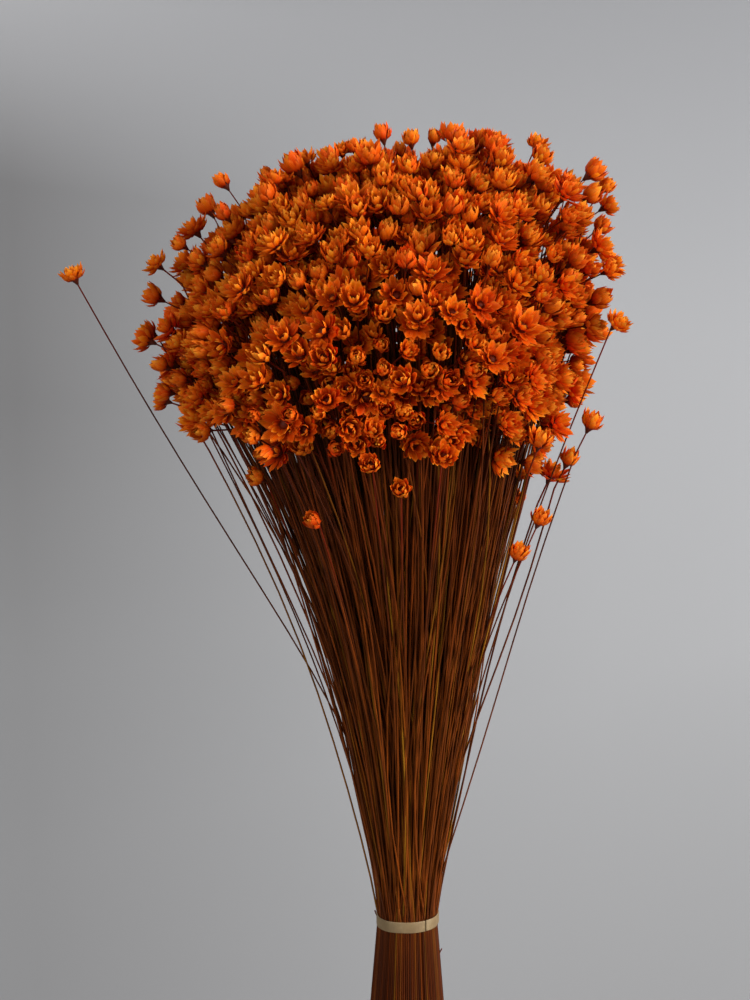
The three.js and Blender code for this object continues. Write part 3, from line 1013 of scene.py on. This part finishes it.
def loose_line(name, head, swing, facing, seed):
    """The stem of a sprig outside the sprays: straight to the tie, then one bend to its head."""
    away = unit(np.array([head[0], head[1], 0.0]))
    up = np.array([0.0, 0.0, 1.0])
    foot = away * LOOSE_TIE_RADIUS * LOOSE_FOOT_SPREAD + up * CUT_END_Z
    tie = away * LOOSE_TIE_RADIUS + up * TIE_Z
    bend = away * swing[0] + up * (TIE_Z + swing[1])
    base = np.array(head, dtype=float) - facing * BASE_TOP
    lower = [foot + (tie - foot) * part for part in BELOW_TIE]
    t = np.linspace(0, 1, LOOSE_STEPS)[:, None]
    upper = (1 - t) ** 2 * tie + 2 * t * (1 - t) * bend + t**2 * base
    if name == SWUNG_STEM:
        out, height = np.array([*SWUNG_OUT, (base @ away, base[2])]).T
        rises = (np.linspace(height[0], height[-1], LOOSE_STEPS) - TIE_Z) / 100
        sure = np.ones(len(out))
        sure[[0, -1]] = 8
        curve = np.polynomial.polynomial.Polynomial.fit((height - TIE_Z) / 100, out, 4, w=sure)
        upper = away * curve(rises)[:, None] + up * (TIE_Z + 100 * rises)[:, None]
        upper[[0, -1]] = tie, base
    side = np.cross(away, up)
    upper += side * LOOSE_SWAY * np.sin(math.pi * t) * np.sin(9 * t + seed)
    return np.vstack([lower, upper])


for number, (name, head, swing, kind, blush, lift) in enumerate(LOOSE_SPRIGS):
    outward = unit(np.array([head[0], head[1], 0.0]))
    direction = unit(outward + (0, 0, lift))
    line = loose_line(name, head, swing, direction, number)
    numbers = {
        "facing": direction, "size": 1.0, "kind": kind, "blush": blush,
        "spin": 0.5 * number, "tone": 0.3, "girth": 1.0,
    }
    grow("loose_" + name, [line], {title: np.array([value]) for title, value in numbers.items()}, name)
print("loose sprigs:", len(LOOSE_SPRIGS))

# %% [markdown]
# ## Broken stems
#
# A few stems broke off near the tie, and what is left sticks out of the bundle a little.

# %% Broken stems
# Angle round the bundle, height, and length of what sticks out, in degrees and millimetres
BROKEN_STEMS = [(-8, 146, 9), (-150, 176, 9), (-30, 188, 7), (20, 172, 8), (95, 181, 10), (160, 160, 9)]
BROKEN_LEAN = 0.3

broken_lines = []
for turn, height, length in BROKEN_STEMS:
    away = np.append(on_circle(math.radians(turn)), 0)
    start = away * (BUNDLE_RADIUS - 0.6) + (0, 0, height)
    rises = np.linspace(0, 1, 6)[:, None]
    lean = away * (length * BROKEN_LEAN) * rises**1.6
    broken_lines.append(start + lean + np.array([0, 0, length]) * rises)
broken_count = len(broken_lines)
numbers = {title: values[:broken_count].copy() for title, values in sprigs.items()}
numbers["size"][:] = 0
grow("broken_stems", broken_lines, numbers)
print("broken stems:", broken_count)

# %% [markdown]
# ## Rubber band
#
# A flat cream band goes a little more than once round the stems, so its ends lie on each other. It
# is neither quite round nor quite level. A rounded rectangle is swept round the bundle in mesh
# code, because a lap like this has no simple curve.

# %% Rubber band
BAND_THICKNESS = 0.55
BAND_START, BAND_LAP = math.radians(-30), math.radians(26)
BAND_CLIMB = math.radians(16)
BAND_STEPS = 200
BAND_SIDES = 20
BAND_SQUARENESS = 6.0
BAND_TILT = 0.03
# How thick the band is at its ends, as a share of its thickness elsewhere
END_THICKNESS = 0.85


def squared(values):
    """Turns the numbers of a circle into those of a rounded rectangle."""
    return np.sign(values) * np.abs(values) ** (2 / BAND_SQUARENESS)


def make_band():
    section = on_circle(TURN * np.arange(BAND_SIDES) / BAND_SIDES)
    points = []
    for step in range(BAND_STEPS + 1):
        gone = (TURN + BAND_LAP) * step / BAND_STEPS
        turn = BAND_START - gone
        climb = np.clip((gone - TURN + BAND_CLIMB) / BAND_CLIMB, 0, 1)
        climb = climb * climb * (3 - 2 * climb)
        wobble = 0.1 * math.sin(5 * turn + 1) + 0.06 * math.sin(9 * turn + 2)
        middle = BUNDLE_RADIUS + 0.1 + BAND_THICKNESS * (0.5 + 1.05 * climb) + wobble
        level = TIE_Z + BAND_TILT * middle * math.cos(turn) + 0.1 * math.sin(3 * turn) + 0.3 * climb
        end = between(END_THICKNESS, 1, min(1, step, BAND_STEPS - step))
        half_size = np.array([BAND_THICKNESS * end, BAND_HEIGHT * (0.9 + 0.1 * end)]) / 2
        x, z = (squared(section) * half_size).T
        points.append(np.column_stack([(middle + x)[:, None] * on_circle(turn), level + z]))
    last = BAND_SIDES * (BAND_STEPS + 1)
    ends = [tuple(range(BAND_SIDES - 1, -1, -1)), tuple(range(last - BAND_SIDES, last))]
    mesh = mesh_from("rubber_band", np.vstack(points), ends + wrapped(BAND_STEPS + 1, BAND_SIDES))
    store(mesh, "across", np.tile(section[:, 1], BAND_STEPS + 1))
    return mesh


def make_rubber_finish():
    finish = Finish("cream_rubber", Roughness=0.62)
    place = finish.place()
    dust = finish.noise(place, 1500.0, 2.0)
    cream = finish.ramp(
        finish.noise(place, 160.0, 3.0),
        [(0.3, (0.14, 0.088, 0.036)), (0.55, (0.185, 0.122, 0.053)), (0.75, (0.24, 0.17, 0.085))],
    )
    worn_edge = finish.math("ABSOLUTE", finish.attribute("across")) ** BAND_SQUARENESS
    finish.colour(finish.blend(worn_edge * 0.5, cream, (0.24, 0.145, 0.06, 1)))
    finish.roughness(dust * 0.25 + 0.5)
    finish.bump(dust, 0.06 * MM)
    return finish.material


band_mesh = make_band()
band_mesh.materials.append(make_rubber_finish())
add_piece("rubber_band", band_mesh, "tie_band", "tie_band")
print("rubber band:", len(band_mesh.polygons), "faces")

# %% [markdown]
# ## Vase
#
# The vase is thrown stoneware: a plain, slightly flaring cylinder with a rounded lip, faint rings
# from the potter's fingers, and a bare clay foot below the glaze. It is a turned shape.

# %% Vase mesh
VASE_SIDES = 144
VASE_WALL, VASE_FLOOR = 4.0, 6.0
VASE_FOOT_RADIUS = VASE_RIM_RADIUS - 4.0
RING_SPACING, RING_DEPTH = 4.6, 0.16
GLAZE_EDGE, GLAZE_THICKNESS = 5.0, 0.25
INSIDE_ROUNDING = 4.0


def vase_profile():
    lip = VASE_WALL / 2
    flat = VASE_FOOT_RADIUS - 1.6
    profile = [(0, 0.0), (VASE_FOOT_RADIUS - 8, 0.0), (flat, 0.0)]
    profile += [(flat + 1.5 * math.sin(a), 1.5 - 1.5 * math.cos(a)) for a in (0.5, 1.0, 1.4)]

    def outer(z):
        flare = between(VASE_FOOT_RADIUS, VASE_RIM_RADIUS, z / VASE_HEIGHT)
        uneven = 0.6 * math.sin(z / 9)
        ring = RING_DEPTH * (0.5 - 0.5 * math.cos(TURN * z / RING_SPACING + uneven))
        step = GLAZE_THICKNESS if z < GLAZE_EDGE else 0.0
        return flare - ring * min(1, z / 20) - step

    heights = [2.5, 4.0, 4.9, 5.1, *np.arange(6.2, VASE_HEIGHT - lip - 0.6, 1.15)]
    profile += [(outer(z), z) for z in heights]
    top, middle = VASE_HEIGHT - lip, VASE_RIM_RADIUS - lip
    half_round = np.linspace(0, math.pi, 13)
    profile += [(middle + lip * math.cos(a), top + lip * math.sin(a)) for a in half_round]
    inside = [z for z in heights[::-3] if z > VASE_FLOOR + 5]
    profile += [(outer(z) - VASE_WALL, z) for z in inside]
    height = VASE_FLOOR + INSIDE_ROUNDING
    corner = outer(height) - VASE_WALL - INSIDE_ROUNDING
    for a in np.linspace(0, math.pi / 2, 6):
        profile.append((corner + INSIDE_ROUNDING * math.cos(a), height - INSIDE_ROUNDING * math.sin(a)))
    return [*profile, (0, VASE_FLOOR)]


vase_mesh = turned("stoneware_vase", vase_profile(), VASE_SIDES)
print("vase:", len(vase_mesh.polygons), "faces")

# %% Vase finish


def make_glaze_finish():
    finish = Finish("speckled_glaze", Roughness=0.4)
    place = finish.place()
    height = finish.node("ShaderNodeSeparateXYZ", {0: place}).output("Z")
    uneven = finish.noise(place, 45.0, 3.0)
    fine = finish.noise(place, 900.0, 2.0)
    cloudy = finish.ramp(
        uneven, [(0.3, (0.46, 0.42, 0.345)), (0.5, (0.53, 0.495, 0.42)), (0.75, (0.6, 0.57, 0.5))]
    )
    cells = finish.node("ShaderNodeTexVoronoi", {"Vector": place, "Scale": 330.0})
    chosen = finish.node("ShaderNodeSeparateColor", {0: cells.output("Color")}).output("Red")
    speck = finish.math("LESS_THAN", cells.output("Distance"), chosen * 0.5 - 0.2)
    speckled = finish.blend(speck * 0.8, cloudy, (0.16, 0.1, 0.055, 1))
    clay = finish.ramp(fine, [(0.3, (0.36, 0.25, 0.16)), (0.7, (0.48, 0.36, 0.25))])
    wavy_edge = height + (uneven - 0.5) * 0.003
    glazed = finish.math("GREATER_THAN", wavy_edge, GLAZE_EDGE * MM)
    finish.colour(finish.blend(glazed, clay, speckled))
    finish.roughness(0.85 - glazed * 0.47 + (fine - 0.5) * 0.12)
    finish.bump(uneven * 0.6 + fine * 0.15, 0.3 * MM)
    return finish.material


vase_mesh.materials.append(make_glaze_finish())
add_piece("stoneware_vase", vase_mesh, "vase", "vase")
print("vase finished")

# %% [markdown]
# ## Stage and light
#
# A round pale cyclorama surrounds the object, so that its horizon is soft from every side. One
# large soft light stands at the right, a little in front and above, as a window does. Three weaker
# ones and an even world light fill the shade in front and behind, and light the wall at the right.
# The stage carries painted shade: a painted shadow of the bunch behind the object at the left, painted
# shade on the floor close to the window that holds back the pool of light there, and a floor darker
# close to the object and a wall darker high up.

# %% Stage
FLOOR_RADIUS, STAGE_BEND, STAGE_WALL = 1.0, 2.8, 3.2
STAGE_SIDES, BEND_STEPS = 96, 12
# Sets how widely the painted shadow of the bunch spreads, in metres
SHADE_REACH = 0.9
WINDOW_PLACE = (2.2, -1.3, 1.0)
# How far the painted shade round the window reaches, in metres
WINDOW_SHADE_REACH = 3.2


def make_stage_finish():
    finish = Finish("pale_backdrop", Roughness=0.9, Specular_IOR_Level=0.1)
    place = finish.place()

    def distance(point):
        measured = finish.node("ShaderNodeVectorMath", {0: place, 1: point}, operation="DISTANCE")
        return measured.output("Value")

    # Painted shade: the floor is darker close to the object and the wall darker high up, as the light
    # falls off
    pale = finish.ramp(
        distance((0, 0, 0)) / (FLOOR_RADIUS + STAGE_BEND),
        [
            (0.0, (0.35, 0.35, 0.358)),
            (0.3, (0.4, 0.4, 0.408)),
            (0.55, (0.41, 0.41, 0.42)),
            (0.9, (0.34, 0.34, 0.354)),
        ],
    )
    # Painted shadow of the bunch: the stage is darker behind the object at the left, half as much in
    # front, and not at all at the far back
    parts = finish.node("ShaderNodeSeparateXYZ", {0: place})
    behind = finish.math("MAXIMUM", parts.output("Y"), 0.0)
    to_right = parts.output("X") / (behind + SHADE_REACH)
    painted_bunch_shadow = finish.ramp(to_right * 2.0 + 0.5, [(0.16, (0.45, 0.445, 0.44)), *grey((0.5, 0.92), (0.7, 1))])
    painted_shadow_fade = finish.ramp(
        behind / STAGE_BEND, grey((0.1, 0.5), (0.35, 0.6), (0.65, 1), (0.85, 1), (1.0, 0))
    )
    with_painted_shadow = finish.blend(painted_shadow_fade, pale, finish.times(pale, painted_bunch_shadow))
    # Painted shade on the floor close to the window, which holds back the pool of light there
    painted_window_shade = finish.ramp(
        distance(WINDOW_PLACE) / WINDOW_SHADE_REACH, grey((0.2, 0.16), (0.45, 0.34), (0.75, 0.8), (1.0, 1))
    )
    finish.colour(finish.times(with_painted_shadow, painted_window_shade))
    return finish.material


def make_stage():
    profile = [(FLOOR_RADIUS, 0.0)]
    for turn in np.linspace(0, math.pi / 2, BEND_STEPS + 1)[1:]:
        profile.append((FLOOR_RADIUS + STAGE_BEND * math.sin(turn), STAGE_BEND * (1 - math.cos(turn))))
    profile.append((FLOOR_RADIUS + STAGE_BEND, STAGE_WALL))
    points = np.array([(0, 0, 0), *circles(profile, STAGE_SIDES)])
    faces = [(0, 1 + k, 1 + (k + 1) % STAGE_SIDES) for k in range(STAGE_SIDES)]
    faces += [face[::-1] for face in wrapped(len(profile), STAGE_SIDES, 1)]
    mesh = mesh_from("stage", points / MM, faces)
    mesh.materials.append(make_stage_finish())
    put_in_scene("stage", mesh)


make_stage()
print("stage radius", FLOOR_RADIUS + STAGE_BEND, "m")

# %% Lights
# Name, place, aim, size, power, colour
LIGHTS = [
    ("window", WINDOW_PLACE, CAMERA_TARGET, 1.4, 142, (1.0, 0.98, 0.95)),
    ("room", (-1.4, -2.2, 0.7), CAMERA_TARGET, 2.0, 65, (0.97, 0.98, 1.0)),
    ("wall_wash", (1.9, 0.5, 1.3), (1.1, 3.2, 0.4), 1.0, 40, (0.98, 0.99, 1.0)),
    ("back_fill", (-1.5, 2.3, 1.3), CAMERA_TARGET, 2.0, 24, (1.0, 0.99, 0.97)),
]
WORLD_COLOUR, WORLD_STRENGTH = (0.9, 0.95, 1.0, 1), 0.27

for name, place, aim, size, power, colour in LIGHTS:
    lamp = put_in_scene(name, bpy.data.lights.new(name, "AREA"))
    lamp.data.shape = "DISK"
    lamp.data.size = size
    lamp.data.energy = power
    lamp.data.color = colour
    lamp.location = place
    lamp.rotation_euler = (Vector(aim) - Vector(place)).to_track_quat("-Z", "Y").to_euler()
    lamp.visible_camera = False
world = bpy.data.worlds.new("world")
world.use_nodes = True
background = world.node_tree.nodes["Background"]
background.inputs["Color"].default_value = WORLD_COLOUR
background.inputs["Strength"].default_value = WORLD_STRENGTH
bpy.context.scene.world = world
print("lights:", len(LIGHTS))
